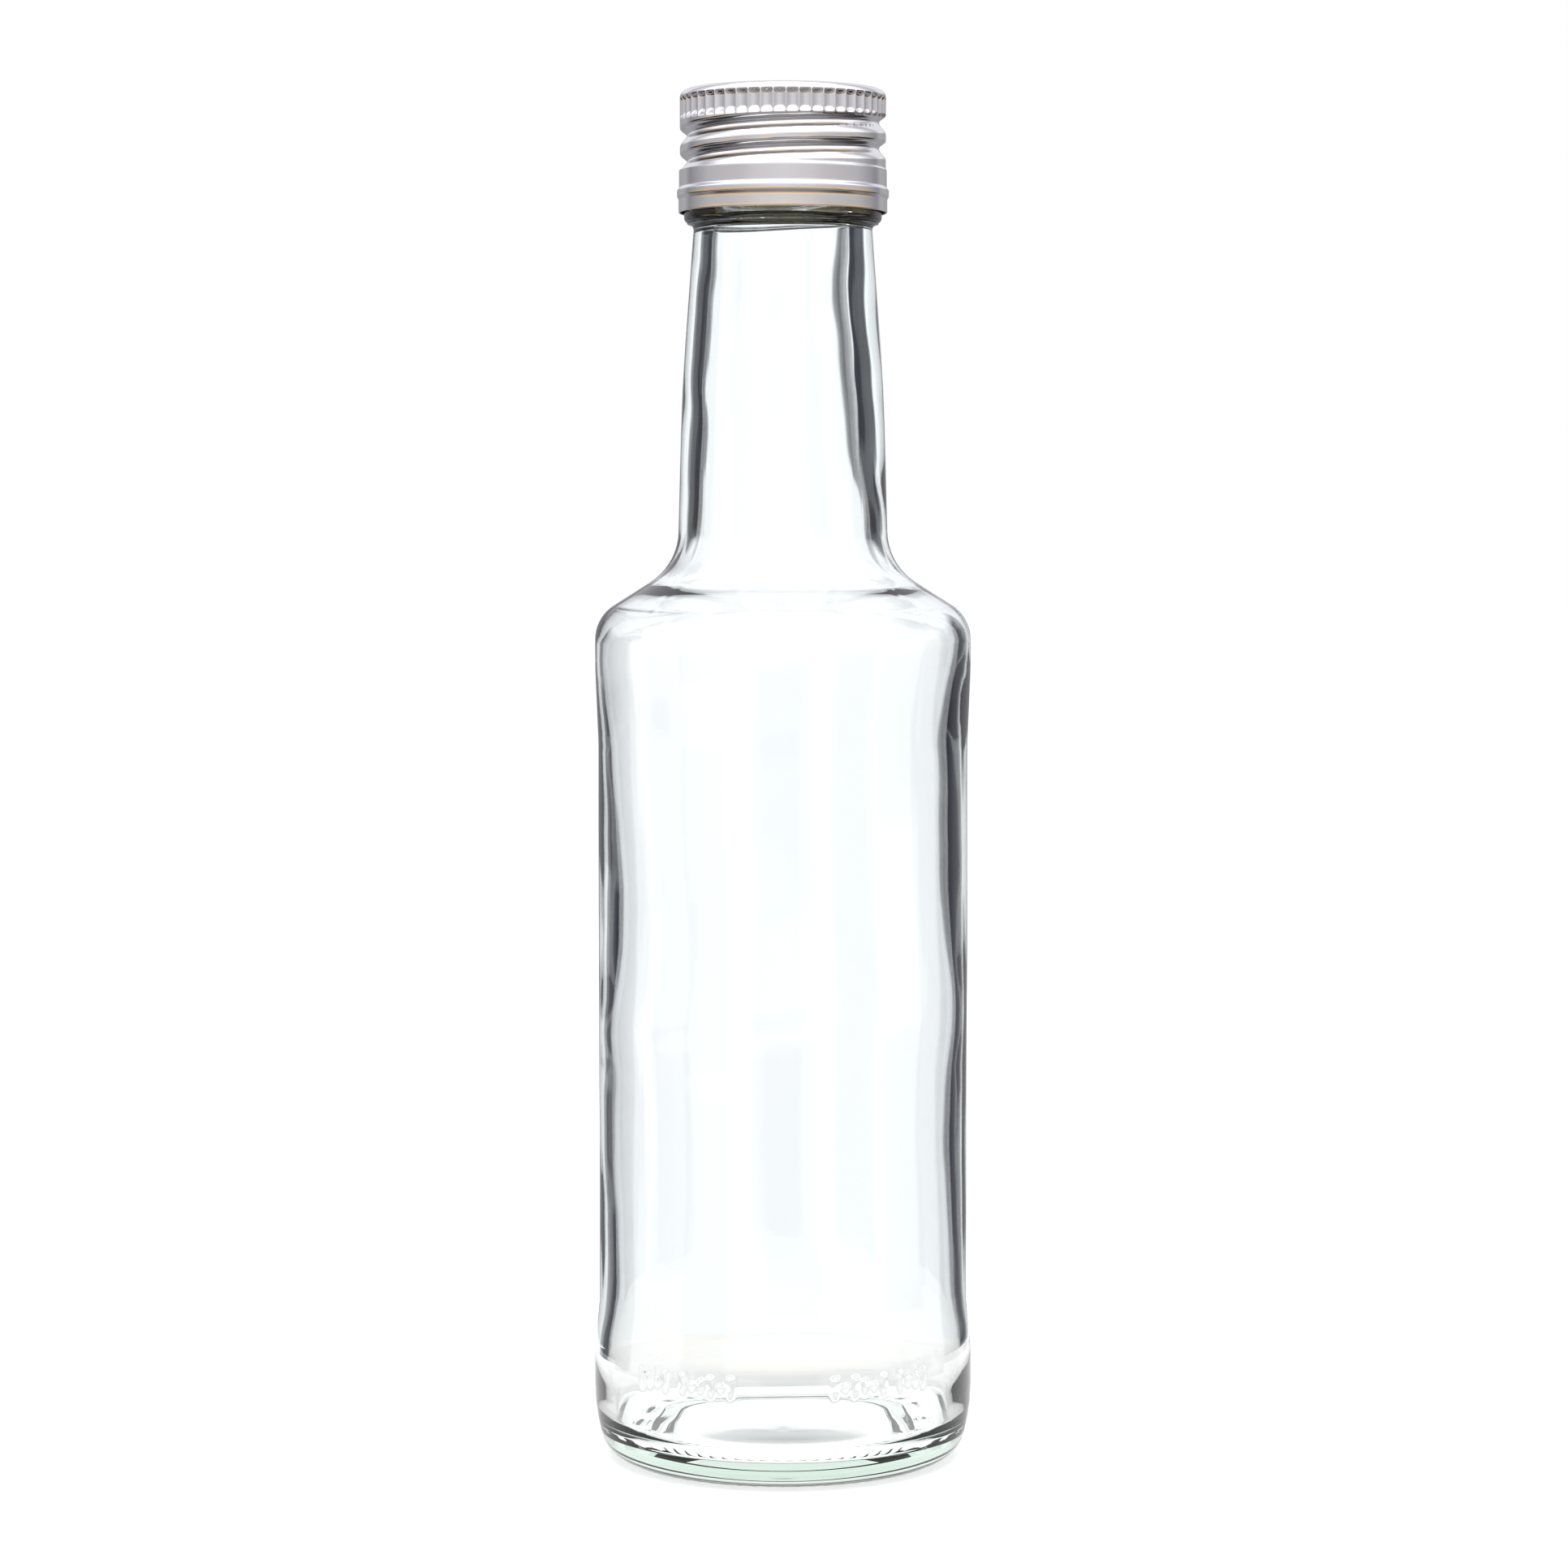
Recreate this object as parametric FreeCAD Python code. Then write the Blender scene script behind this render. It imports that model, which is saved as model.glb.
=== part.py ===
import FreeCAD, Part
import math
import os

# A clear glass bottle with an aluminium screw cap, standing on its base.
# Millimetres, +Z up, origin at the centre of the base on the standing surface.

# ---------------------------------------------------------------- bottle, outside
panel_radius = 25.35            # recessed label panel
heel_relief = 0.75              # how far the heel band stands out from the panel
heel_foot_inset = 0.8           # from the panel in to where the foot's slope meets the surface
heel_corner_blend = 4.3         # round between the base and the foot's slope
heel_band_low = 7.7             # the foot's slope ends here
heel_band_width = 7.8
heel_ease = 6.0                 # height over which the heel band narrows to the panel
shoulder_corner_height = 116.0  # where the shoulder's slope would leave its band
shoulder_relief = 0.4           # how far the shoulder band stands out from the panel
shoulder_band_width = 7.0
shoulder_ease = 10.0            # height over which the panel widens to the shoulder band
shoulder_angle = 32.2           # slope of the shoulder, degrees below level
shoulder_roll = 5.5             # convex round between band and slope
shoulder_hollow = 8.5           # concave round between slope and neck
panel_blend = 25.0              # soft rounds at the ends of the panel
neck_foot_radius = 14.4         # neck, where it leaves the shoulder
neck_waist_radius = 13.75       # neck, where its taper grows steeper
neck_waist_rise = 24.0          # from the neck's foot up to that place
neck_length = 46.45             # from the neck's foot up to the collar
neck_blend = 250.0

# ---------------------------------------------------------------- bottle, mouth
finish_radius = 12.5            # plain wall that carries the thread
finish_height = 17.85           # from the underside of the collar to the lip
finish_wall = 3.3               # glass between that wall and the bore
neck_step = 0.4                 # how much slimmer the neck's top is than that wall
collar_height = 3.2
collar_round = 0.9
lip_round = 0.8

# ---------------------------------------------------------------- bottle, inside
panel_wall = 2.05
heel_wall = 1.9
foot_wall = 2.8                 # at the floor, measured from the heel band
shoulder_band_wall = 1.35
shoulder_wall = 1.6             # across the slope
neck_foot_wall = 2.3
neck_wall = 2.9                 # at the waist
inner_heel_blend = 4.0
inner_shoulder_roll = 4.5
inner_shoulder_hollow = 10.5
base_thickness = 2.8            # at the centre, above the push-up
floor_dish = 0.7                # how much lower the floor is at its rim
push_up_height = 1.5
push_up_inset = 3.6             # from the bearing ring in to the push-up's level middle
bearing_inset = 5.95            # from the foot's corner in to the bearing ring's inner edge
push_up_blend = 3.0
bearing_blend = 1.0

# ---------------------------------------------------------------- thread
thread_pitch = 3.5
ridge_width = 2.4               # of the glass thread, on the wall
ridge_height = 0.9
ridge_climb = 4.375             # from its lower end up to its upper end
ridge_start = -330.0            # degrees from +X, at the lower end
ridge_step = 15.0               # degrees between two sections
ridge_root = 0.35               # how far each section reaches into the wall
ridge_tip = 0.02                # share of the full section left at the very ends
thread_fade = 45.0              # degrees over which each end of a thread dies out

# ---------------------------------------------------------------- cap
sheet = 0.25                    # aluminium sheet
crest_clearance = 0.38          # between the glass thread and the cap's plain wall
root_clearance = 0.33           # between the glass wall and the bottom of the rolled groove
collar_clearance = 0.49         # between the glass collar and the skirt
cap_height = 16.6
cap_top_blend = 1.0
knurl_height = 3.65             # from the top of the cap down to the flutes' ends
knurl_ledge = 0.02              # how much the threaded wall stands in under the flutes
flute_count = 51
flute_depth = 0.4
flute_radius = 0.95
groove_rise = 1.0               # rolled thread groove, from its bottom up to the plain wall
groove_fall = 1.7               # and from its bottom down to the plain wall
groove_start = -225.0           # degrees from +X, at the lower end
groove_climb = 6.125            # from its lower end up to its upper end
groove_drop = 9.6               # from the cap's top to the groove, at groove_start + thread_fade
wall_columns = 48               # points round each level section of the threaded wall
wall_level_step = 0.35          # height between two level sections
band_relief = 0.12              # how far the band stands out from the fluted top
band_drop = 10.9                # from the cap's top to the upper edge of the band
bead_relief = 0.4               # how far the bead stands out from the fluted top
bead_drop = 14.0                # from the cap's top to the middle of the bead
bead_width = 1.6
bead_blend = 0.3
skirt_relief = 0.19             # how far the skirt stands out from the fluted top

# ---------------------------------------------------------------- sizes that follow
slope = math.tan(math.radians(shoulder_angle))
heel_foot_radius = panel_radius - heel_foot_inset
heel_band_radius = panel_radius + heel_relief
heel_band_high = heel_band_low + heel_band_width
shoulder_band_radius = panel_radius + shoulder_relief
shoulder_band_low = shoulder_corner_height - shoulder_band_width
bearing_inner_radius = heel_foot_radius - bearing_inset
neck_foot_height = shoulder_corner_height + slope * (shoulder_band_radius - neck_foot_radius)
neck_waist_height = neck_foot_height + neck_waist_rise
neck_top_radius = finish_radius - neck_step
bore_radius = finish_radius - finish_wall
collar_low = neck_foot_height + neck_length
collar_high = collar_low + collar_height
lip_height = collar_low + finish_height

threaded_radius = finish_radius + ridge_height + crest_clearance + sheet
groove_depth = threaded_radius - sheet - finish_radius - root_clearance
cap_radius = threaded_radius + knurl_ledge
band_radius = cap_radius + band_relief
bead_radius = cap_radius + bead_relief
skirt_radius = cap_radius + skirt_relief
collar_radius = skirt_radius - sheet - collar_clearance
cap_top = lip_height + sheet
cap_foot = cap_top - cap_height
band_top = cap_top - band_drop
bead_middle = cap_top - bead_drop
knurl_foot = cap_top - knurl_height
ridge_length = 360.0 * ridge_climb / thread_pitch       # degrees from end to end
groove_length = 360.0 * groove_climb / thread_pitch


def spot(radius, height, angle=0.0):
    """The point at this radius and height, turned about +Z by angle degrees."""
    turn = math.radians(angle)
    return FreeCAD.Vector(radius * math.cos(turn), radius * math.sin(turn), height)


def outline(corners):
    """Straight runs through (radius, height, blend) corners, each blend a tangent arc."""
    points = [spot(radius, height) for radius, height, blend in corners]
    edges = []
    here = points[0]
    for before, corner, after, row in zip(points, points[1:], points[2:], corners[1:-1]):
        blend = row[2]
        arrive = (corner - before).normalize()
        leave = (after - corner).normalize()
        turn = arrive.getAngle(leave)
        reach = blend * math.tan(turn / 2)
        start = corner - arrive * reach
        if (start - here).Length > 1e-6:
            edges.append(Part.LineSegment(here, start).toShape())
            here = start
        if blend > 0:
            inward = (leave - arrive).normalize()
            middle = corner + inward * (blend / math.cos(turn / 2) - blend)
            end = corner + leave * reach
            edges.append(Part.Arc(start, middle, end).toShape())
            here = end
    edges.append(Part.LineSegment(here, points[-1]).toShape())
    return edges


def turned(corners):
    """The solid of revolution whose half section runs through the corners, axis to axis."""
    edges = outline(corners)
    first = spot(*corners[0][:2])
    last = spot(*corners[-1][:2])
    edges.append(Part.LineSegment(last, first).toShape())
    face = Part.Face(Part.Wire(Part.__sortEdges__(edges)))
    return face.revolve(FreeCAD.Vector(0, 0, 0), FreeCAD.Vector(0, 0, 1), 360)


def disc(radius, low, high):
    """A plain upright cylinder between two heights."""
    return Part.makeCylinder(radius, high - low, spot(0, low))


def fade(position, length):
    """0 at both ends of the helix, 1 between its two fading stretches."""
    edge = min(position, length - position) / thread_fade
    return math.sin(math.pi / 2 * min(1.0, edge))


def groove_height(angle):
    """Level of the bottom of the cap's rolled groove at this angle."""
    turns = (angle - groove_start - thread_fade) / 360.0
    return cap_top - groove_drop + thread_pitch * turns


def groove_share(angle, level, spread):
    """How deep the rolled groove is at this place: 1 on its bottom, 0 on the plain wall.

    Each flank is half a cosine wave, and spread widens both.
    """
    share = 0.0
    for turn in range(-1, 3):
        along = angle + 360.0 * turn - groove_start
        if not 0 < along < groove_length:
            continue
        offset = level - groove_height(groove_start + along)
        reach = spread + (groove_rise if offset > 0 else groove_fall)
        if abs(offset) < reach:
            wave = (1 + math.cos(math.pi * offset / reach)) / 2
            share = max(share, wave * fade(along, groove_length))
    return share


def glass_thread():
    """The ridge on the mouth: a circle's segment lofted midway between the cap's grooves."""
    wall = finish_radius - ridge_root
    count = int(round(ridge_length / ridge_step))
    sections = []
    for index in range(count + 1):
        along = ridge_length * index / count
        angle = ridge_start + along
        level = groove_height(angle) + thread_pitch / 2
        crest = wall + (ridge_height + ridge_root) * max(ridge_tip, fade(along, ridge_length))
        low = spot(wall, level - ridge_width / 2, angle)
        high = spot(wall, level + ridge_width / 2, angle)
        arc = Part.Arc(low, spot(crest, level, angle), high).toShape()
        chord = Part.LineSegment(high, low).toShape()
        sections.append(Part.Wire([arc, chord]))
    return Part.makeLoft(sections, True, False)


def inner_slope_height(radius):
    """Height of the shoulder's inner slope at this radius."""
    thickness = shoulder_wall / math.cos(math.radians(shoulder_angle))
    return shoulder_corner_height - thickness + slope * (shoulder_band_radius - radius)


def bottle_shape():
    """The glass: one turned wall with its thread."""
    underside = [
        (0, push_up_height, 0),
        (bearing_inner_radius - push_up_inset, push_up_height, push_up_blend),
        (bearing_inner_radius, 0, bearing_blend),
    ]
    side = [
        (heel_foot_radius, 0, heel_corner_blend),
        (heel_band_radius, heel_band_low, panel_blend),
        (heel_band_radius, heel_band_high, panel_blend),
        (panel_radius, heel_band_high + heel_ease, panel_blend),
        (panel_radius, shoulder_band_low - shoulder_ease, panel_blend),
        (shoulder_band_radius, shoulder_band_low, panel_blend),
        (shoulder_band_radius, shoulder_corner_height, shoulder_roll),
        (neck_foot_radius, neck_foot_height, shoulder_hollow),
        (neck_waist_radius, neck_waist_height, neck_blend),
        (neck_top_radius, collar_low, collar_round),
    ]
    mouth = [
        (collar_radius, collar_low, collar_round),
        (collar_radius, collar_high, collar_round),
        (finish_radius, collar_high, 0),
        (finish_radius, lip_height, lip_round),
        (bore_radius, lip_height, lip_round),
    ]
    inner_neck_foot = neck_foot_radius - neck_foot_wall
    inner_shoulder = shoulder_band_radius - shoulder_band_wall
    inner_panel = panel_radius - panel_wall
    inner_heel = heel_band_radius - heel_wall
    floor_height = push_up_height + base_thickness
    inside = [
        (bore_radius, collar_low, neck_blend / 2),
        (neck_waist_radius - neck_wall, neck_waist_height, neck_blend),
        (inner_neck_foot, inner_slope_height(inner_neck_foot), inner_shoulder_hollow),
        (inner_shoulder, inner_slope_height(inner_shoulder), inner_shoulder_roll),
        (inner_shoulder, shoulder_band_low, panel_blend),
        (inner_panel, shoulder_band_low - shoulder_ease, panel_blend),
        (inner_panel, heel_band_high + heel_ease, panel_blend),
        (inner_heel, heel_band_high, panel_blend),
        (inner_heel, (heel_band_low + heel_band_high) / 2, panel_blend),
        (heel_band_radius - foot_wall, floor_height - floor_dish, inner_heel_blend),
        (0, floor_height, 0),
    ]
    return turned(underside + side + mouth + inside).fuse(glass_thread())


def threaded_wall(radius, low, high, spread):
    """The solid inside the cap's threaded wall, lofted through level sections."""
    count = int(math.ceil((high - low) / wall_level_step))
    stations = [float(column) for column in range(wall_columns + 1)]
    sections = []
    for row in range(count + 1):
        level = low + (high - low) * row / count
        points = []
        for column in range(wall_columns):
            angle = 360.0 * column / wall_columns - 180.0
            depth = groove_depth * groove_share(angle, level, spread)
            points.append(spot(radius - depth, level, angle))
        curve = Part.BSplineCurve()
        curve.interpolate(Points=points, PeriodicFlag=True, Parameters=stations)
        sections.append(Part.Wire([curve.toShape()]))
    return Part.makeLoft(sections, True, False)


def cap_band(inset, low, high):
    """The turned lower part of the cap: band, bead and skirt, drawn in by inset."""
    band = band_radius - inset
    bead = bead_radius - inset
    skirt = skirt_radius - inset
    return turned([
        (0, high, 0),
        (band, high, 0),
        (band, bead_middle + bead_width / 2, 0),
        (bead, bead_middle + bead_width / 4, bead_blend),
        (bead, bead_middle - bead_width / 4, bead_blend),
        (skirt, bead_middle - bead_width / 2, 0),
        (skirt, low, 0),
        (0, low, 0),
    ])


def cap_head(radius, low, high, blend):
    """A plain disc with a rounded upper edge."""
    return turned([(0, high, 0), (radius, high, blend), (radius, low, 0), (0, low, 0)])


def flutes():
    """The upright scallops round the top of the cap, as one cutter."""
    middle = cap_radius + flute_radius - flute_depth
    cutters = []
    for index in range(flute_count):
        base = spot(middle, knurl_foot, 360.0 * index / flute_count)
        cutters.append(Part.makeCylinder(flute_radius, knurl_height, base))
    return Part.makeCompound(cutters)


def cap_shape():
    """The cap: a thin pressed shell with flutes, a rolled thread, a band and a bead."""
    outer_wall = threaded_wall(threaded_radius, band_top - sheet, knurl_foot, 0)
    head = cap_head(cap_radius, knurl_foot, cap_top, cap_top_blend)
    outside = cap_band(0, cap_foot, band_top).fuse(outer_wall).fuse(head.cut(flutes()))

    inner_wall = threaded_wall(threaded_radius - sheet, band_top - 2 * sheet, knurl_foot - sheet,
                               sheet / 2)
    lining = cap_head(cap_radius - flute_depth - sheet, knurl_foot + sheet, lip_height,
                      cap_top_blend - sheet)
    hollows = [
        cap_band(sheet, cap_foot - sheet, band_top - sheet),
        inner_wall,
        disc(finish_radius + root_clearance / 2, band_top, knurl_foot + 2 * sheet),
        lining,
    ]
    for hollow in hollows:
        outside = outside.cut(hollow)
    return outside


def save(name, shape):
    """Write one solid as parts/NAME.step."""
    solid = shape.Solids[0]
    print(name, "solids", len(shape.Solids), "valid", solid.isValid(),
          "volume cm3", round(solid.Volume / 1000, 3))
    solid.exportStep("parts/" + name + ".step")


os.makedirs("parts", exist_ok=True)
save("bottle", bottle_shape())
save("cap", cap_shape())
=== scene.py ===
"""A clear glass bottle with an aluminium screw cap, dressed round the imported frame.

Shapes are worked out in millimetres from the axis and the standing surface, and become metres
when a mesh is made. Angles run from +X towards +Y, and the side that faces the camera is -Y.
"""

import math

import bpy
import numpy as np
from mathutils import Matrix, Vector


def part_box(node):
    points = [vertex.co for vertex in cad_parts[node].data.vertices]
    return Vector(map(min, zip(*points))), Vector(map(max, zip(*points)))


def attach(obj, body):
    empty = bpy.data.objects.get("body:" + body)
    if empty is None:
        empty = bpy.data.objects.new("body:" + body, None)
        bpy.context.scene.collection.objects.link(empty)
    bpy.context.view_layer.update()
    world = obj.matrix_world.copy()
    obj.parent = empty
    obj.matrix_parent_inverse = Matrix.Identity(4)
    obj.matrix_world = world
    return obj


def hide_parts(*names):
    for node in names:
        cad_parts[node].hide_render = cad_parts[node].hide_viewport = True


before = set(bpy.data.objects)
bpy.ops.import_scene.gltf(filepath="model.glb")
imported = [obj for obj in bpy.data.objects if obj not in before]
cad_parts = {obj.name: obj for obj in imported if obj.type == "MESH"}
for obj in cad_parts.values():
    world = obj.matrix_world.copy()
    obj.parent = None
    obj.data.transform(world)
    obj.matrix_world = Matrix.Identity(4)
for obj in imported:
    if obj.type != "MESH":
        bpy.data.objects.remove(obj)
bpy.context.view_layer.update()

MM = 0.001
FRONT = -90.0                       # degrees, the side that faces the camera
WHITE, BLACK = (1, 1, 1), (0, 0, 0)
MIX_SHARE, MIX_LOW, MIX_HIGH, MIX_RESULT = 0, 6, 7, 2    # the colour sockets of a Mix node, by number

# ---------------------------------------------------------------- sizes shared by glass and cap
lip_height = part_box("bottle")[1].z / MM
cap_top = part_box("cap")[1].z / MM
cap_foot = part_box("cap")[0].z / MM
collar_low = lip_height - 17.85
collar_high = collar_low + 3.2
thread_pitch = 3.5
thread_start = cap_top - 9.6        # the height that both threads are counted from


# ---------------------------------------------------------------- curves and meshes
def rounded(corners, arc_step=7.0):
    """Points along straight runs through (radius, height, blend) corners.

    Each blend is an arc tangent to both runs, with a point every arc_step degrees or closer.
    """
    rows = np.array(corners, float)
    points = [rows[0, :2]]
    for before, row, after in zip(rows, rows[1:], rows[2:]):
        corner = row[:2]
        blend = row[2]
        arrive = (corner - before[:2]) / np.linalg.norm(corner - before[:2])
        leave = (after[:2] - corner) / np.linalg.norm(after[:2] - corner)
        turn = math.acos(float(np.clip(arrive @ leave, -1, 1)))
        if blend <= 0 or turn < 1e-4:
            points.append(corner)
            continue
        reach = blend * math.tan(turn / 2)
        inward = (leave - arrive) / np.linalg.norm(leave - arrive)
        centre = corner + inward * blend / math.cos(turn / 2)
        start = corner - arrive * reach - centre
        end = corner + leave * reach - centre
        count = max(2, math.ceil(math.degrees(turn) / arc_step))
        share = np.linspace(0, 1, count + 1)[:, None]
        arc = (np.sin((1 - share) * turn) * start + np.sin(share * turn) * end) / math.sin(turn)
        points.extend(centre + arc)
    points.append(rows[-1, :2])
    return np.array(points)


def filled_in(points, spacing):
    """The same line with points added, so that no step is longer than spacing(radius, height) there."""
    pieces = [points[:1]]
    for start, end in zip(points, points[1:]):
        middle = (start + end) / 2
        length = np.linalg.norm(end - start)
        if length < 1e-6:
            continue
        count = max(1, math.ceil(length / spacing(*middle)))
        share = np.arange(1, count + 1)[:, None] / count
        pieces.append(start + (end - start) * share)
    return np.vstack(pieces)


def ease(value, low, high):
    """0 below low, 1 above high, and a smooth cubic step between them."""
    share = np.clip((value - low) / (high - low), 0, 1)
    return share * share * (3 - 2 * share)


def window(value, low, high, soft):
    """1 between low and high, easing to 0 over soft outside both."""
    return ease(value, low - soft, low) * (1 - ease(value, high, high + soft))


def ripple(angle, height, waves):
    """Sum of sine waves, each (amplitude, waves round, height of one wave, phase)."""
    total = np.zeros(np.broadcast(angle, height).shape)
    for amplitude, around, tall, phase in waves:
        total += amplitude * np.sin(around * angle + 2 * np.pi * height / tall + phase)
    return total


def linked_object(name, places, faces):
    """An object with a mesh of its own name, made of places in metres and faces."""
    mesh = bpy.data.meshes.new(name)
    mesh.from_pydata(places, [], faces)
    piece = bpy.data.objects.new(name, mesh)
    bpy.context.scene.collection.objects.link(piece)
    return piece


def turned_skin(name, radius, height, angle):
    """A closed skin over rings, given as (rows, columns) grids of radius and height.

    Each vertex is (radius cos angle, radius sin angle, height), and the two end rows shrink to points.
    """
    rows, columns = radius.shape
    inner = slice(1, rows - 1)
    x = radius[inner] * np.cos(angle)
    y = radius[inner] * np.sin(angle)
    rings = np.stack([x, y, height[inner]], axis=-1).reshape(-1, 3)
    poles = np.array([[0, 0, height[0, 0]], [0, 0, height[-1, 0]]])
    places = np.vstack([rings, poles]) * MM

    ring = np.arange((rows - 2) * columns).reshape(rows - 2, columns)
    beside = np.roll(ring, -1, axis=1)
    quads = np.stack([ring[:-1], beside[:-1], beside[1:], ring[1:]], axis=-1).reshape(-1, 4)
    first = len(rings)
    start = np.stack([np.full(columns, first), beside[0], ring[0]], axis=-1)
    end = np.stack([np.full(columns, first + 1), ring[-1], beside[-1]], axis=-1)

    piece = linked_object(name, places.tolist(), quads.tolist() + start.tolist() + end.tolist())
    piece.data.shade_smooth()
    return piece


# ---------------------------------------------------------------- the glass
heel_radius = 26.1
mouth_radius = 9.2                  # the inside at the lip
shoulder_slope = math.radians(32.2)


def glass_corners():
    """The outside from under the base to the lip, then the inside to the floor: (radius, height, blend)."""
    panel, shoulder, collar, finish = 25.35, 25.75, 13.5, 12.5
    neck_foot, neck_waist, neck_top = 14.4, 13.75, 12.1
    push_up, heel_low, heel_top = 1.5, 7.7, 15.5
    panel_low, panel_high, band_low, band_high = 21.5, 99.0, 109.0, 116.0
    slope = math.tan(shoulder_slope)
    neck_foot_height = band_high + slope * (shoulder - neck_foot)
    waist_height = neck_foot_height + 24.0
    outside = [
        (0, push_up, 0), (15.0, push_up, 3.0), (18.6, 0, 1.0), (24.55, 0, 4.3),
        (heel_radius, heel_low, 25.0), (heel_radius, heel_top, 25.0),
        (panel, panel_low, 25.0), (panel, panel_high, 25.0),
        (shoulder, band_low, 25.0), (shoulder, band_high, 5.5),
        (neck_foot, neck_foot_height, 8.5), (neck_waist, waist_height, 250.0),
        (neck_top, collar_low, 0.9), (collar, collar_low, 0.9), (collar, collar_high, 0.9),
        (finish, collar_high, 0), (finish, lip_height, 0.8), (mouth_radius, lip_height, 0.8),
    ]
    inner_panel, inner_heel, inner_band, inner_foot, inner_waist = 23.3, 24.2, 24.4, 12.1, 10.85
    floor_edge, floor_middle = 3.6, 4.3
    shoulder_wall = 1.6
    inner_band_high = band_high - shoulder_wall / math.cos(shoulder_slope)
    inside = [
        (mouth_radius, collar_low, 125.0), (inner_waist, waist_height, 250.0),
        (inner_foot, inner_band_high + slope * (shoulder - inner_foot), 10.5),
        (inner_band, inner_band_high + slope * (shoulder - inner_band), 4.5),
        (inner_band, band_low, 25.0), (inner_panel, panel_high, 25.0), (inner_panel, panel_low, 25.0),
        (inner_heel, heel_top, 25.0), (inner_heel, 11.6, 25.0),
        (inner_panel, floor_edge, 4.0), (0, floor_middle, 0),
    ]
    return outside, inside


def outside_spacing(radius, height):
    """Close rings at the bearing ring, the heel and the finish, wider ones on plain stretches."""
    bearing_ring = height < 1.5 and 17.0 < radius < 23.5
    if bearing_ring:
        return 0.42
    foot_or_finish = height < 12.5 or height > collar_low
    if foot_or_finish:
        return 0.7 if radius > 15 or height > 20 else 2.5
    heel_relief = height < 18.0
    if heel_relief:
        return 0.3
    return 2.8 if height < 98 else 1.35


def inside_spacing(radius, height):
    """Close rings on the floor and from the shoulder up, where the wall ripples more, wider ones between."""
    if height > 112.0:
        return 1.25
    return 2.3 if height > 12.0 else 1.2


def glass_columns():
    """Angles of the upright lines: close together at the front for the relief, wider round the back."""
    near, far = 0.65, 3.6
    reach = 49.0
    front = np.arange(-reach, reach, near)
    back = np.linspace(reach, 360.0 - reach, int((360.0 - 2 * reach) / far), endpoint=False)
    return np.radians(np.concatenate([front, back]) + FRONT)


def thread_ridge(angle, height):
    """The glass thread: a round-topped ridge along a right-handed helix, dying out at both ends."""
    start, length, fade = -330.0, 450.0, 45.0
    relief, half_width = 0.9, 1.2
    ridge = np.zeros(np.broadcast(angle, height).shape)
    for turn in (-1, 0, 1):
        along = np.degrees(angle) + 360.0 * turn - start
        level = thread_start + thread_pitch * (start + along + 180.0) / 360.0 + thread_pitch / 2
        edge = np.clip(np.minimum(along, length - along) / fade, 0, 1)
        across = np.clip(1 - ((height - level) / half_width) ** 2, 0, 1)
        ridge = np.maximum(ridge, relief * across * np.sin(np.pi / 2 * edge))
    return ridge


def heel_marks(angle, height):
    """Relief at the heel: plain upright bars and dots in four short runs, each mark a low rounded pill."""
    middle, stroke, relief = 14.2, 0.5, 0.22
    first, step, gap = 15.5, 3.1, 3.0       # degrees from the front, with the gap after the sixth mark
    bar_heights = (2.0, 0.0, 2.0, 1.0, 0.0, 2.0, 2.0, 0.0, 1.0, 2.0)
    marks = np.zeros(np.broadcast(angle, height).shape)
    round_front = np.degrees(angle) - FRONT
    for side in (-1, 1):
        for index, tall in enumerate(bar_heights):
            place = side * (first + step * index + gap * (index > 5))
            off_side = (round_front - place) * np.pi / 180 * heel_radius
            off_level = np.maximum(np.abs(height - middle) - tall / 2, 0)
            far = np.hypot(off_side, off_level) / stroke
            marks = np.maximum(marks, relief * (1 - ease(far, 0.55, 1.0)))
    return marks


def blown_drift(angle, height):
    """How far the blown inside leaves its true circle: a smoothed curve up each side, blended by cosine."""
    levels = [8, 16, 24, 32, 43, 52, 60, 66, 71, 77, 89,
              100, 112, 117, 121, 126, 135, 146, 156, 168, 174]
    right = [0, 0.5, 0.25, 0.1, 0.0, 0.2, 0.6, 0.4, 0.0, -0.25, -0.5,
             -0.45, -0.15, 0.1, 0, 0.3, -0.2, -0.7, -1.0, -0.9, 0]
    left = [0, 0.1, -0.05, -0.25, 0.1, 0.35, 0.75, -0.1, -0.5, -0.4, 0.1,
            0.4, 0.35, 0.1, 0, 0, -0.1, 0.05, 0, 0.4, 0]
    shifts = (-3.0, -1.5, 0.0, 1.5, 3.0)
    east = sum(np.interp(height + shift, levels, right) for shift in shifts) / len(shifts)
    west = sum(np.interp(height + shift, levels, left) for shift in shifts) / len(shifts)
    return 0.5 * (east + west) + 0.5 * (east - west) * np.cos(angle)


def outer_surface(line, angle):
    """Grids of the outside: the turned line plus relief.

    The radius gains the thread, the heel's marks, a faint swell of the panel and two upright mould
    seams. The height gains a cosine wave round the bearing ring, its stipple.
    """
    radius = line[:, :1] + 0 * angle
    height = line[:, 1:] + 0 * angle
    on_heel = radius > 23.0
    threaded = window(height, collar_high + 0.5, lip_height - 1.2, 0.4)
    radius = radius + thread_ridge(angle, height) * threaded
    radius = radius + heel_marks(angle, height) * on_heel

    stipple_depth, stipple_count = 0.2, 72
    ring = window(line[:, :1], 18.9, 22.3, 0.5) * (line[:, 1:] < 1.2)
    height = height + stipple_depth * ring * (0.5 - 0.5 * np.cos(stipple_count * angle))

    swell = window(height, 24.0, 96.0, 6.0)
    radius = radius + swell * ripple(angle, height, [(0.03, 2, 61.0, 0.4), (0.02, 3, 38.0, 2.0)])
    seam_relief, seam_spread = 0.05, 0.0006
    seam = np.exp(-((np.cos(angle) ** 2 - 1) / seam_spread) ** 2)
    radius = radius + seam_relief * seam * window(height, 24.0, 168.0, 3.0)
    return radius, height


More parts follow.
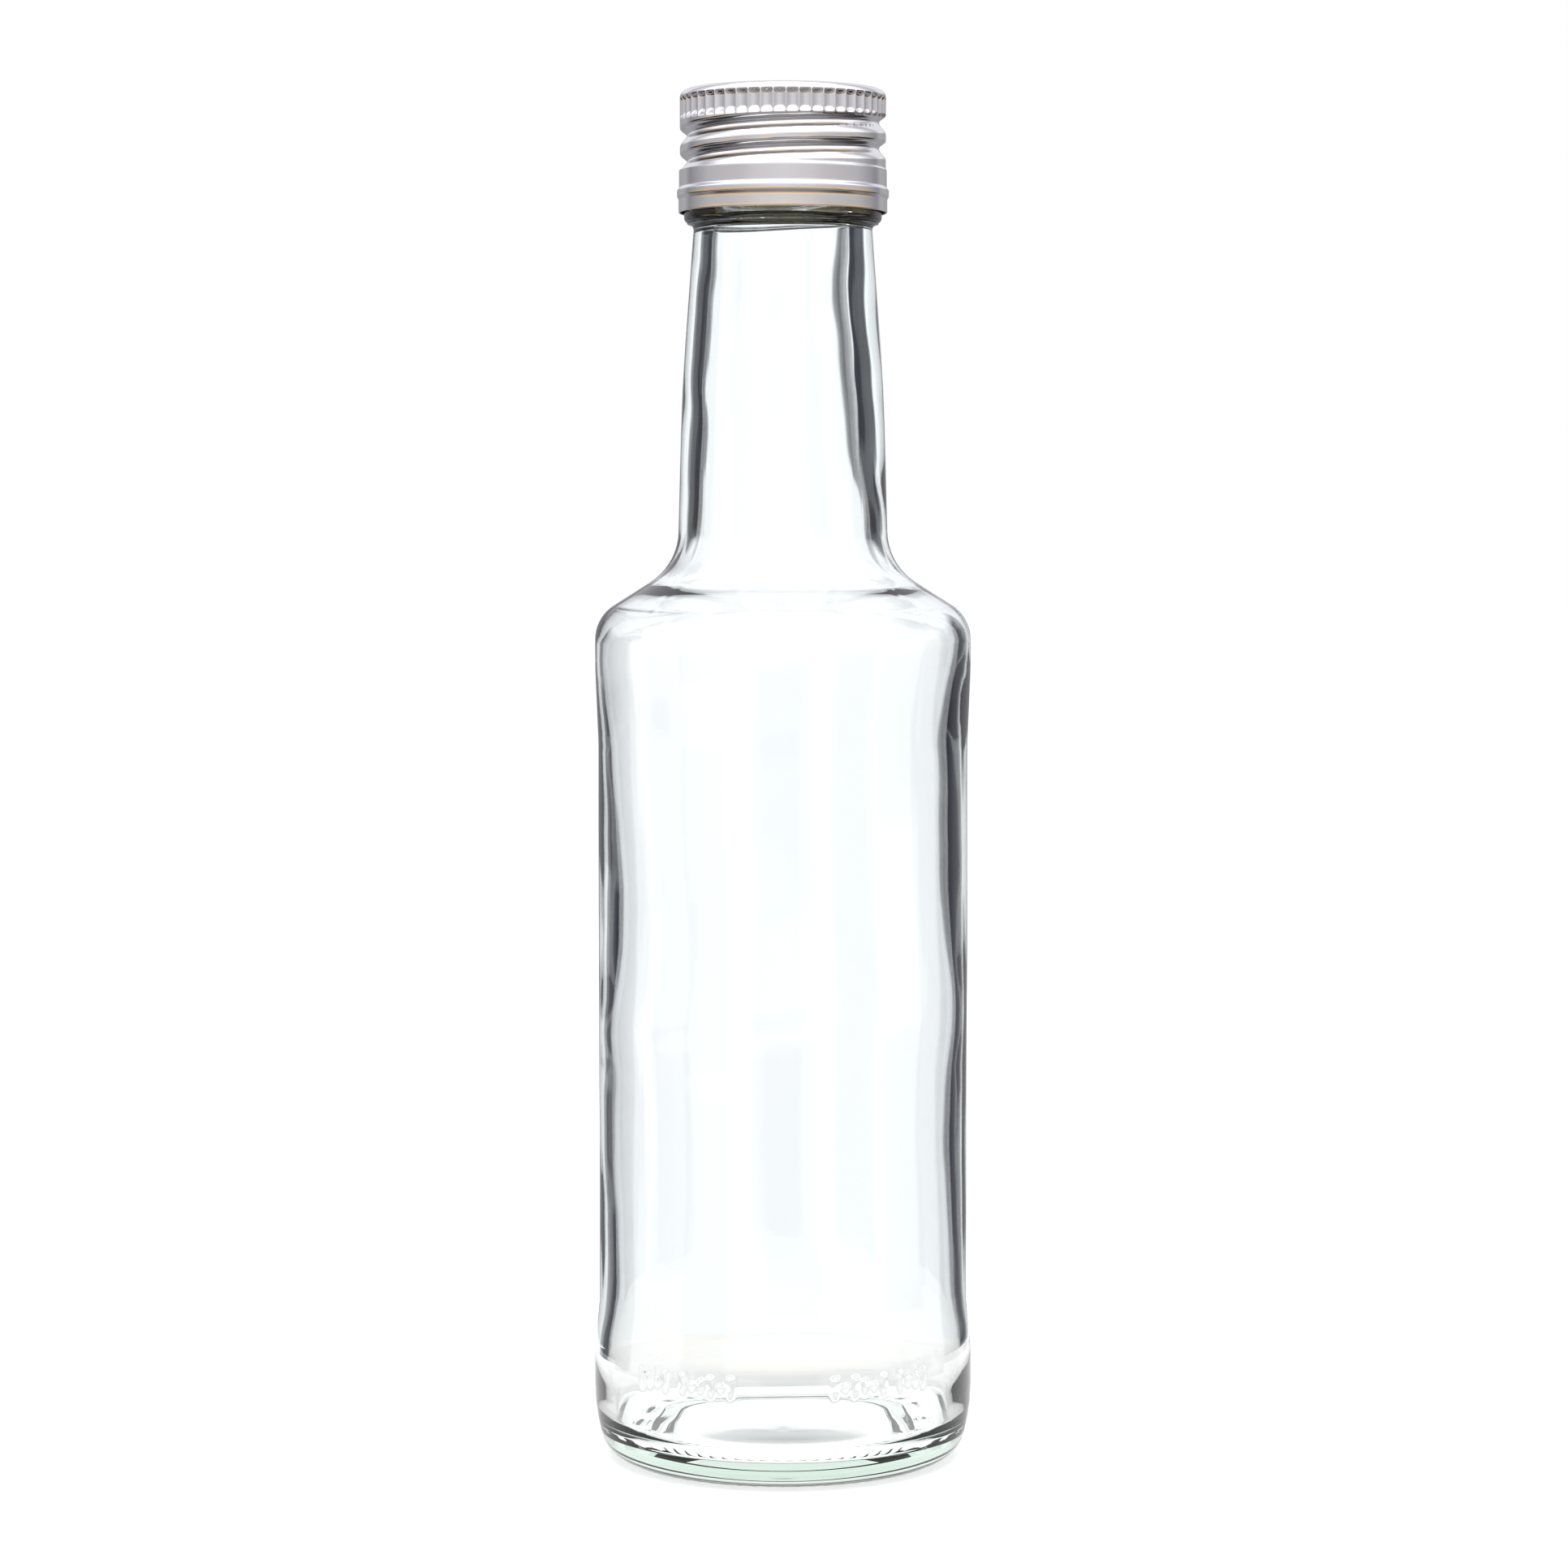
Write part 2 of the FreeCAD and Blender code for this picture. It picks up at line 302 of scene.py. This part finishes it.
def inner_surface(bore, angle):
    """Grids of the inside: the turned bore plus what blowing leaves.

    The radius gains ripples in the body, the slow drift and ripples in the neck. The height dips by
    a bell curve of the radius, a small fold under the shoulder that is deepest at front and back.
    """
    radius = bore[:, :1] + 0 * angle
    height = bore[:, 1:] + 0 * angle
    body = window(height, 14.0, 108.0, 10.0) * ease(radius, 18.0, 23.0)
    neck = window(height, 128.0, 162.0, 9.0)
    radius = radius + body * ripple(angle, height, [
        (0.04, 2, 140.0, 1.1), (0.03, 3, 60.0, 0.3), (0.02, 5, 31.0, 2.2), (0.006, 7, 9.0, 0.7)])
    radius = radius + blown_drift(angle, height) * ease(radius, 8.5, 10.5)

    fold_radius, fold_width, fold_depth = 17.0, 1.7, 0.35
    fold = np.exp(-((bore[:, :1] - fold_radius) / fold_width) ** 2)
    fold = fold * window(bore[:, 1:], 112.0, 124.0, 1.0)
    height = height - fold_depth * fold * (1 - 0.6 * np.cos(angle) ** 4)
    radius = radius + neck * ripple(angle, height, [
        (0.05, 2, 21.0, 0.5), (0.025, 3, 11.0, 1.9), (0.006, 5, 6.5, 0.2)])
    return radius, height


def make_bottle():
    """The glass as one closed skin: up the outside, over the lip and down the inside."""
    outside, inside = glass_corners()
    join = (mouth_radius, lip_height - 1.0)     # where the outside line ends and the inside one begins
    line = rounded(outside + inside[:1])[:-1]
    line = filled_in(np.vstack([line, join]), outside_spacing)
    bore = filled_in(rounded([(*join, 0)] + inside), inside_spacing)[1:]
    angle = glass_columns()[None, :]
    radius, height = outer_surface(line, angle)
    inner_radius, inner_height = inner_surface(bore, angle)
    radius = np.vstack([radius, inner_radius])
    height = np.vstack([height, inner_height])
    return turned_skin("bottle_glass", radius, height, angle)


# ---------------------------------------------------------------- the cap
sheet = 0.25
flutes = 51
knurl_radius = 14.05
knurl_foot = cap_top - 3.65
band_top = cap_top - 10.9
flat_radius = 11.5                  # the top is plain out to here,
pressed_radius = 12.9               # and the sheet is pressed in full from here


def cap_columns():
    """Angles of the upright lines: ten to a flute, crowded round the narrow ridge between two flutes."""
    share = np.array([0.0, 0.045, 0.075, 0.16, 0.32, 0.5, 0.68, 0.84, 0.925, 0.955])
    steps = np.arange(flutes)[:, None] - 0.5 + share[None, :]
    return np.radians(360.0 / flutes * steps.ravel())


def cap_spacing(radius, height):
    """Close rings on the fluted and threaded wall, a little wider below it, wide on the flat top."""
    if radius < flat_radius:
        return 2.0
    return 0.23 if height > band_top + 0.3 else 0.35


def flute_depth(angle, height):
    """How deep the scallops are: a circle's arc across each flute, closed by slopes at foot and head."""
    depth, cutter_radius = 0.4, 0.95
    foot_below, foot_run = 0.37, 0.52
    head_below, head_run = 1.05, 0.45
    pitch = 2 * np.pi * knurl_radius / flutes
    across = (np.degrees(angle) * flutes / 360.0 + 0.5) % 1.0 - 0.5
    offset = across * pitch
    arc = np.sqrt(np.clip(cutter_radius ** 2 - offset ** 2, 0, None))
    scallop = np.clip(depth - cutter_radius + arc, 0, None)
    foot = np.clip((height - knurl_foot + foot_below) / foot_run, 0, 1)
    head = np.clip((cap_top - head_below - height) / head_run, 0, 1)
    return np.minimum(scallop, depth * np.minimum(foot, head))


def groove_depth(angle, height):
    """How deep the rolled thread is: two half-cosine flanks round a helix, dying out at both ends."""
    start, length, fade = -225.0, 630.0, 45.0
    rise, fall, depth = 1.0, 1.7, 0.95
    share = np.zeros(np.broadcast(angle, height).shape)
    for turn in range(-1, 3):
        along = np.degrees(angle) + 360.0 * turn - start
        offset = height - (thread_start + thread_pitch * (along - fade) / 360.0)
        reach = np.where(offset > 0, rise, fall)
        wave = 0.5 + 0.5 * np.cos(np.pi * np.clip(offset / reach, -1, 1))
        edge = np.clip(np.minimum(along, length - along) / fade, 0, 1)
        share = np.maximum(share, wave * np.sin(np.pi / 2 * edge))
    return depth * share


def cap_corners():
    """The inside from its top down to the cut edge, and the outside up again: (radius, height, blend)."""
    wall, band, bead, skirt = 14.03, 14.17, 14.45, 14.24
    middle = cap_top - 14.0
    bead_low, bead_high = middle - 0.42, middle + 0.42
    skirt_top, band_foot = middle - 0.8, middle + 0.8
    inside = [
        (0, cap_top - sheet, 0), (knurl_radius - sheet, cap_top - sheet, 0.75),
        (knurl_radius - sheet, knurl_foot, 0), (wall - sheet, band_top, 0.1),
        (band - sheet, band_top - 0.25, 0.1), (band - sheet, band_foot, 0.1),
        (bead - sheet, bead_high, 0.1), (bead - sheet, bead_low, 0.1),
        (skirt - sheet, skirt_top, 0.1), (skirt - sheet, cap_foot, 0.1),
    ]
    outside = [
        (skirt, cap_foot, 0.1), (skirt, skirt_top, 0.12), (bead, bead_low, 0.32), (bead, bead_high, 0.32),
        (band, band_foot, 0.25), (band, band_top, 0.1), (wall, band_top + 0.25, 0.1),
        (knurl_radius, knurl_foot, 0), (knurl_radius, cap_top, 1.0), (0, cap_top, 0),
    ]
    return inside + outside


def make_cap():
    """The cap as one thin closed skin, with the inside in its second material slot: gold lacquer darkened
    past its own colour as painted shade.

    The radius is the turned line less the flutes and the rolled thread, both pressed through the sheet.
    """
    line = rounded(cap_corners(), arc_step=15.0)
    edge = int(np.argmin(line[:, 1]))
    inside_share = 2.2              # how much wider the hidden inside's rings are
    inner_line = filled_in(line[:edge + 1], lambda *place: inside_share * cap_spacing(*place))
    outer_line = filled_in(line[edge:], cap_spacing)[1:]
    line = np.vstack([inner_line, outer_line])

    angle = cap_columns()[None, :]
    radius = line[:, :1] + 0 * angle
    height = line[:, 1:] + 0 * angle
    threaded = window(height, band_top + 0.2, knurl_foot, 0.2)
    pressed = flute_depth(angle, height) + groove_depth(angle, height) * threaded
    radius = np.maximum(radius - pressed * ease(line[:, :1], flat_radius, pressed_radius), 0)
    piece = turned_skin("screw_cap", radius, height, angle)

    columns = angle.shape[1]
    rows = np.arange(len(line) - 3)
    # the inside faces, whose gold lacquer is darkened as painted shade under the skirt
    lacquer_and_shade_faces = np.repeat(rows < len(inner_line) - 2, columns)
    inner_top, outer_top = np.ones(columns, bool), np.zeros(columns, bool)
    slots = np.concatenate([lacquer_and_shade_faces, inner_top, outer_top])
    piece.data.polygons.foreach_set("material_index", slots.astype(np.int32))
    return piece


# ---------------------------------------------------------------- materials
def node(tree, kind, **values):
    """A new node; values whose names are inputs are set on those sockets, the others on the node itself."""
    made = tree.nodes.new(kind)
    for key, value in values.items():
        name = key.replace("_", " ")
        if name in made.inputs:
            made.inputs[name].default_value = value
        else:
            setattr(made, key, value)
    return made


def blank_material(name):
    """A material with an empty node tree and its output."""
    material = bpy.data.materials.new(name)
    material.use_nodes = True
    tree = material.node_tree
    tree.nodes.clear()
    return material, tree, tree.nodes.new("ShaderNodeOutputMaterial")


def clear_glass():
    """Soda-lime glass: clear, a little green in its depth, with the faint swell that a mould leaves."""
    material, tree, output = blank_material("clear_glass")
    shader = node(tree, "ShaderNodeBsdfPrincipled", Roughness=0.0, IOR=1.52)
    shader.inputs["Base Color"].default_value = (0.995, 1.0, 0.998, 1)
    shader.inputs["Transmission Weight"].default_value = 1.0
    place = node(tree, "ShaderNodeTexCoord")
    swell = node(tree, "ShaderNodeTexNoise", Scale=70.0, Detail=1.0, Roughness=0.4)
    bump = node(tree, "ShaderNodeBump", Strength=1.0, Distance=0.00002)
    depth = node(tree, "ShaderNodeVolumeAbsorption", Density=12.0)
    depth.inputs["Color"].default_value = (0.60, 0.90, 0.72, 1)
    link = tree.links.new
    link(place.outputs["Object"], swell.inputs["Vector"])
    link(swell.outputs["Fac"], bump.inputs["Height"])
    link(bump.outputs["Normal"], shader.inputs["Normal"])
    link(shader.outputs["BSDF"], output.inputs["Surface"])
    link(depth.outputs["Volume"], output.inputs["Volume"])
    return material


def rolled_metal(name, colour, roughness):
    """Thin rolled sheet: a metal whose gloss is broken by fine lines round the axis and by soft clouds."""
    material, tree, output = blank_material(name)
    shader = node(tree, "ShaderNodeBsdfPrincipled", Metallic=1.0)
    shader.inputs["Base Color"].default_value = (*colour, 1)
    place = node(tree, "ShaderNodeTexCoord")
    squeeze = node(tree, "ShaderNodeMapping")
    squeeze.inputs["Scale"].default_value = (60.0, 60.0, 5200.0)
    lines = node(tree, "ShaderNodeTexNoise", Scale=1.0, Detail=3.0)
    clouds = node(tree, "ShaderNodeTexNoise", Scale=420.0, Detail=3.0)
    rough = node(tree, "ShaderNodeMapRange")
    rough.inputs["To Min"].default_value = roughness - 0.05
    rough.inputs["To Max"].default_value = roughness + 0.07
    bump = node(tree, "ShaderNodeBump", Strength=0.35, Distance=0.000012)
    link = tree.links.new
    link(place.outputs["Object"], squeeze.inputs["Vector"])
    link(squeeze.outputs["Vector"], lines.inputs["Vector"])
    link(place.outputs["Object"], clouds.inputs["Vector"])
    link(clouds.outputs["Fac"], rough.inputs["Value"])
    link(rough.outputs["Result"], shader.inputs["Roughness"])
    link(lines.outputs["Fac"], bump.inputs["Height"])
    link(bump.outputs["Normal"], shader.inputs["Normal"])
    link(shader.outputs["BSDF"], output.inputs["Surface"])
    return material


# ---------------------------------------------------------------- floor and lights under the bottle
def glow(tree, colour, strength):
    """An emission node of one colour."""
    made = node(tree, "ShaderNodeEmission", Strength=strength)
    made.inputs["Color"].default_value = (*colour, 1)
    return made


def hide_from_cloth(piece):
    """Leave a piece to the rays that glass and metal send on: no camera, no lit cloth, no shadow."""
    piece.visible_camera = False
    piece.visible_diffuse = False
    piece.visible_shadow = False


def make_floor():
    """A pale floor: lit cloth that keeps the shadow, with enough glow of its own to show white."""
    material, tree, output = blank_material("floor_pale")
    cloth = node(tree, "ShaderNodeBsdfDiffuse")
    cloth.inputs["Color"].default_value = (0.8, 0.8, 0.8, 1)
    light = glow(tree, WHITE, 0.5)
    path = node(tree, "ShaderNodeLightPath")
    none = glow(tree, BLACK, 0.0)
    seen = node(tree, "ShaderNodeMixShader")
    both = node(tree, "ShaderNodeAddShader")
    link = tree.links.new
    link(path.outputs["Is Camera Ray"], seen.inputs["Fac"])
    link(none.outputs["Emission"], seen.inputs[1])
    link(light.outputs["Emission"], seen.inputs[2])
    link(seen.outputs["Shader"], both.inputs[0])
    link(cloth.outputs["BSDF"], both.inputs[1])
    link(both.outputs["Shader"], output.inputs["Surface"])
    half = 6.0
    corners = [(-half, -half, 0), (half, -half, 0), (half, half, 0), (-half, half, 0)]
    floor = linked_object("floor", corners, [(0, 1, 2, 3)])
    floor.data.materials.append(material)
    floor.visible_transmission = False
    floor.visible_glossy = False


def make_light_table():
    """The bright table top under the bottle, seen in glass and metal only: a disc with three wider arcs."""
    material, tree, output = blank_material("table_glow")
    light = glow(tree, WHITE, 1.15)
    tree.links.new(light.outputs["Emission"], output.inputs["Surface"])
    count = 96
    reach, wider, sunk = 0.095, 0.018, 0.0001
    wide_arcs = ((104, 163), (203, 246), (291, 340))    # degrees from the front, towards +X
    angle = np.linspace(0, 2 * np.pi, count, endpoint=False)
    round_front = (np.degrees(angle) - FRONT) % 360.0
    radius = reach + wider * sum(window(round_front, start, end, 3.0) for start, end in wide_arcs)
    rim = np.stack([radius * np.cos(angle), radius * np.sin(angle), 0 * angle - sunk], axis=-1)
    table = linked_object("light_table", rim.tolist(), [list(range(count))])
    table.data.materials.append(material)
    hide_from_cloth(table)


def make_heel_glow():
    """A low ring round the foot, brighter upwards, seen in glass and metal only: an upright band."""
    material, tree, output = blank_material("heel_glow")
    light = glow(tree, WHITE, 1.0)
    place = node(tree, "ShaderNodeTexCoord")
    split = node(tree, "ShaderNodeSeparateXYZ")
    level = node(tree, "ShaderNodeMapRange")
    level.inputs["From Min"].default_value = 0.0025
    level.inputs["From Max"].default_value = 0.0075
    level.inputs["To Min"].default_value = 0.84
    level.inputs["To Max"].default_value = 1.05
    link = tree.links.new
    link(place.outputs["Object"], split.inputs["Vector"])
    link(split.outputs["Z"], level.inputs["Value"])
    link(level.outputs["Result"], light.inputs["Strength"])
    link(light.outputs["Emission"], output.inputs["Surface"])
    count, radius, tall = 180, 0.030, 0.0125
    angle = np.linspace(0, 2 * np.pi, count, endpoint=False)
    rows = [np.stack([radius * np.cos(angle), radius * np.sin(angle), 0 * angle + height], axis=-1)
            for height in (0.0, tall)]
    ring = np.arange(2 * count).reshape(2, count)
    beside = np.roll(ring, -1, axis=1)
    quads = np.stack([ring[0], ring[1], beside[1], beside[0]], axis=-1)
    glowing = linked_object("heel_glow", np.vstack(rows).tolist(), quads.tolist())
    glowing.data.materials.append(material)
    hide_from_cloth(glowing)


# ---------------------------------------------------------------- the world round the bottle
# Directions are given in degrees: round the axis from the camera's side, 0, over +X, 90, and in rise
# from -90, straight down, to 90, straight up. Each row of dark cards is a list of stops round the
# axis (degrees, how dark), and the four rises where it begins, is full, is last full and ends.
CARDS = (
    ([(0, 0), (118, 0), (121, 1), (155.5, 1), (158, 0.86), (160, 0.8), (162, 0), (360, 0)],
     (-36, -33, 17, 22)),
    ([(0, 0), (203.5, 0), (205.5, 0.84), (209, 0.84), (211, 1), (246, 1), (249, 0),
      (291, 0), (294, 1), (322, 1), (326, 0), (360, 0)],
     (-16, -14, 17, 22)),
    ([(0, 0), (165, 0), (169, 1), (200, 1), (204, 0), (246, 0), (250, 1), (280, 1), (285, 0), (360, 0)],
     (-37, -34, -18, -16)),
    ([(0, 1), (20, 1), (24, 0), (66, 0), (70, 1), (101, 1), (105, 0), (344, 0), (349, 1), (360, 1)],
     (-28, -26, -5, -3)),
)
# What the metal mirrors, the same on both sides: stops (degrees from the front, level) for the
# floor, a lighter band of cloth within it, the level surround and the bright upper one.
FLOOR_BAND = [(0, 0.28), (45, 0.23), (62, 0.14), (85, 0.05), (112, 0.015), (121, 0.06), (134, 0.38),
              (170, 0.34)]
CLOTH_BAND = [(0, 0.50), (60, 0.44), (90, 0.30), (112, 0.20), (140, 0.30), (170, 0.44)]
LEVEL_BAND = [(0, 0.72), (30, 0.66), (45, 0.58), (90, 0.50), (112, 0.36), (126, 0.28), (138, 0.44),
              (170, 0.36)]
UPPER_BAND = [(0, 1.3), (95, 1.25), (112, 0.75), (128, 0.50), (142, 0.85), (170, 0.80)]


def grey(value):
    """A neutral colour of this level."""
    return (value, value, value)


def cool(value):
    """A grey of this level, a little towards violet."""
    return (value * 0.985, value * 0.98, value * 1.05)


def upward(rise):
    """A rise in degrees as the share that directions() gives: 0 straight down, 1 straight up."""
    return 0.5 + 0.5 * math.sin(math.radians(rise))


def maths(tree, operation, *values):
    """The result of a Math node on sockets and numbers."""
    made = node(tree, "ShaderNodeMath", operation=operation)
    for place, value in enumerate(values):
        if isinstance(value, float):
            made.inputs[place].default_value = value
        else:
            tree.links.new(value, made.inputs[place])
    return made.outputs["Value"]


def ramp(tree, share, stops):
    """The colour at this share of a ramp through (place, colour) stops, which run from 0 to 1."""
    made = node(tree, "ShaderNodeValToRGB")
    elements = made.color_ramp.elements
    elements[0].color = (*stops[0][1], 1)
    elements[1].color = (*stops[-1][1], 1)
    for place, colour in stops[1:-1]:
        elements.new(place).color = (*colour, 1)
    tree.links.new(share, made.inputs["Fac"])
    return made.outputs["Color"]


def mixed(tree, share, low, high, blend_type="MIX"):
    """The colour between two colour sockets."""
    made = node(tree, "ShaderNodeMix", data_type="RGBA", blend_type=blend_type)
    tree.links.new(share, made.inputs[MIX_SHARE])
    tree.links.new(low, made.inputs[MIX_LOW])
    tree.links.new(high, made.inputs[MIX_HIGH])
    return made.outputs[MIX_RESULT]


def directions(tree):
    """The turn of a direction round the axis and its upward share, both from 0 to 1."""
    place = node(tree, "ShaderNodeTexCoord")
    split = node(tree, "ShaderNodeSeparateXYZ")
    tree.links.new(place.outputs["Generated"], split.inputs["Vector"])
    towards_camera = maths(tree, "MULTIPLY", split.outputs["Y"], -1.0)
    turn = maths(tree, "ARCTAN2", split.outputs["X"], towards_camera)
    around = maths(tree, "FRACT", maths(tree, "MULTIPLY", turn, 1 / (2 * math.pi)))
    rise = node(tree, "ShaderNodeMapRange")
    rise.inputs["From Min"].default_value = -1.0
    tree.links.new(split.outputs["Z"], rise.inputs["Value"])
    return around, rise.outputs["Result"]


def seen_through_glass(tree, around, rise):
    """A white surround with the dark cards, each a ramp round the axis times a ramp up; the darkest wins."""
    darkest = None
    for turns, (begin, full, last_full, end) in CARDS:
        beside = ramp(tree, around, [(turn / 360.0, grey(value)) for turn, value in turns])
        levels = [(-90, 0), (begin, 0), (full, 1), (last_full, 1), (end, 0), (90, 0)]
        upright = ramp(tree, rise, [(upward(degrees), grey(value)) for degrees, value in levels])
        card = maths(tree, "MULTIPLY", beside, upright)
        darkest = card if darkest is None else maths(tree, "MAXIMUM", darkest, card)
    made = node(tree, "ShaderNodeMix", data_type="RGBA")
    made.inputs[MIX_LOW].default_value = (0.95, 0.968, 1.0, 1)
    made.inputs[MIX_HIGH].default_value = (0.022, 0.024, 0.034, 1)
    tree.links.new(darkest, made.inputs[MIX_SHARE])
    return made.outputs[MIX_RESULT]


def seen_in_metal(tree, around, rise):
    """Bands that go from dim below to bright above, with a warm horizon everywhere but behind."""
    def all_round(band):
        """The colour of a band at the turn of the direction."""
        stops = [(degrees / 360.0, cool(value)) for degrees, value in band]
        stops += [(1 - place, colour) for place, colour in reversed(stops)]
        return ramp(tree, around, stops)

    def blend(low, high, start, end):
        """From low to high as the direction rises from start to end, in degrees."""
        share = node(tree, "ShaderNodeMapRange")
        share.inputs["From Min"].default_value = upward(start)
        share.inputs["From Max"].default_value = upward(end)
        tree.links.new(rise, share.inputs["Value"])
        return mixed(tree, share.outputs["Result"], low, high)

    floor = all_round(FLOOR_BAND)
    below = blend(blend(floor, all_round(CLOTH_BAND), -34.0, -30.0), floor, -20.0, -16.0)
    reflected = blend(blend(below, all_round(LEVEL_BAND), -2.0, 1.5), all_round(UPPER_BAND), 8.5, 12.5)
    horizon = ramp(tree, rise, [
        (0.0, grey(1)), (0.478, grey(1)), (0.494, (3.0, 1.6, 0.45)), (0.507, (2.4, 1.5, 0.45)),
        (0.52, grey(1)), (1.0, grey(1))])
    not_behind = ramp(tree, around, [
        (0.0, grey(1)), (0.31, grey(1)), (0.34, grey(0)), (0.66, grey(0)), (0.69, grey(1)), (1.0, grey(1))])
    return mixed(tree, not_behind, reflected, horizon, blend_type="MULTIPLY")


def make_world():
    """White for the camera, soft light for the cloth, and a surround each for the glass and the metal."""
    world = bpy.data.worlds.new("studio")
    world.use_nodes = True
    bpy.context.scene.world = world
    tree = world.node_tree
    tree.nodes.clear()
    link = tree.links.new
    around, rise = directions(tree)

    path = node(tree, "ShaderNodeLightPath")
    lit = glow(tree, WHITE, 0.75)
    seen = glow(tree, WHITE, 1.0)
    glass = glow(tree, WHITE, 1.15)
    link(seen_through_glass(tree, around, rise), glass.inputs["Color"])
    metal = glow(tree, WHITE, 1.0)
    link(seen_in_metal(tree, around, rise), metal.inputs["Color"])
    last = lit
    for ray, shader in (("Is Glossy Ray", metal), ("Is Transmission Ray", glass), ("Is Camera Ray", seen)):
        mix = node(tree, "ShaderNodeMixShader")
        link(path.outputs[ray], mix.inputs["Fac"])
        link(last.outputs[0], mix.inputs[1])
        link(shader.outputs[0], mix.inputs[2])
        last = mix
    output = tree.nodes.new("ShaderNodeOutputWorld")
    link(last.outputs[0], output.inputs["Surface"])


def make_lamp():
    """One broad soft lamp overhead, a little in front."""
    data = bpy.data.lights.new("overhead", "AREA")
    data.shape = "RECTANGLE"
    data.size = 0.9
    data.size_y = 0.7
    data.energy = 6.0
    lamp = bpy.data.objects.new("overhead", data)
    lamp.location = (0, -0.25, 0.95)
    lamp.rotation_euler = (math.radians(-14), 0, 0)
    lamp.visible_transmission = False
    bpy.context.scene.collection.objects.link(lamp)


def make_camera():
    """Level with the shoulder, straight in front, looking a little down."""
    aside, distance, eye, tilt, lens = 0.00015, 0.5673, 0.12839, 3.566, 94.78
    data = bpy.data.cameras.new("camera")
    data.sensor_width = 36.0
    data.lens = lens
    camera = bpy.data.objects.new("camera", data)
    camera.location = (aside, -distance, eye)
    camera.rotation_euler = (math.radians(90 - tilt), 0, 0)
    bpy.context.scene.collection.objects.link(camera)
    bpy.context.scene.camera = camera


# ---------------------------------------------------------------- putting it together
bottle = make_bottle()
bottle.data.materials.append(clear_glass())
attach(bottle, "root")
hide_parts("bottle")

cap = make_cap()
cap.data.materials.append(rolled_metal("cap_aluminium", (0.87, 0.87, 0.87), 0.11))
# the inside: gold lacquer, darkened past its own colour as painted shade inside the skirt
cap.data.materials.append(rolled_metal("cap_lacquer_gold_with_painted_shade", (0.18, 0.15, 0.06), 0.28))
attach(cap, "root")
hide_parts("cap")

make_floor()
make_light_table()
make_heel_glow()
make_world()
make_lamp()
make_camera()
bpy.context.scene.view_settings.view_transform = "Standard"
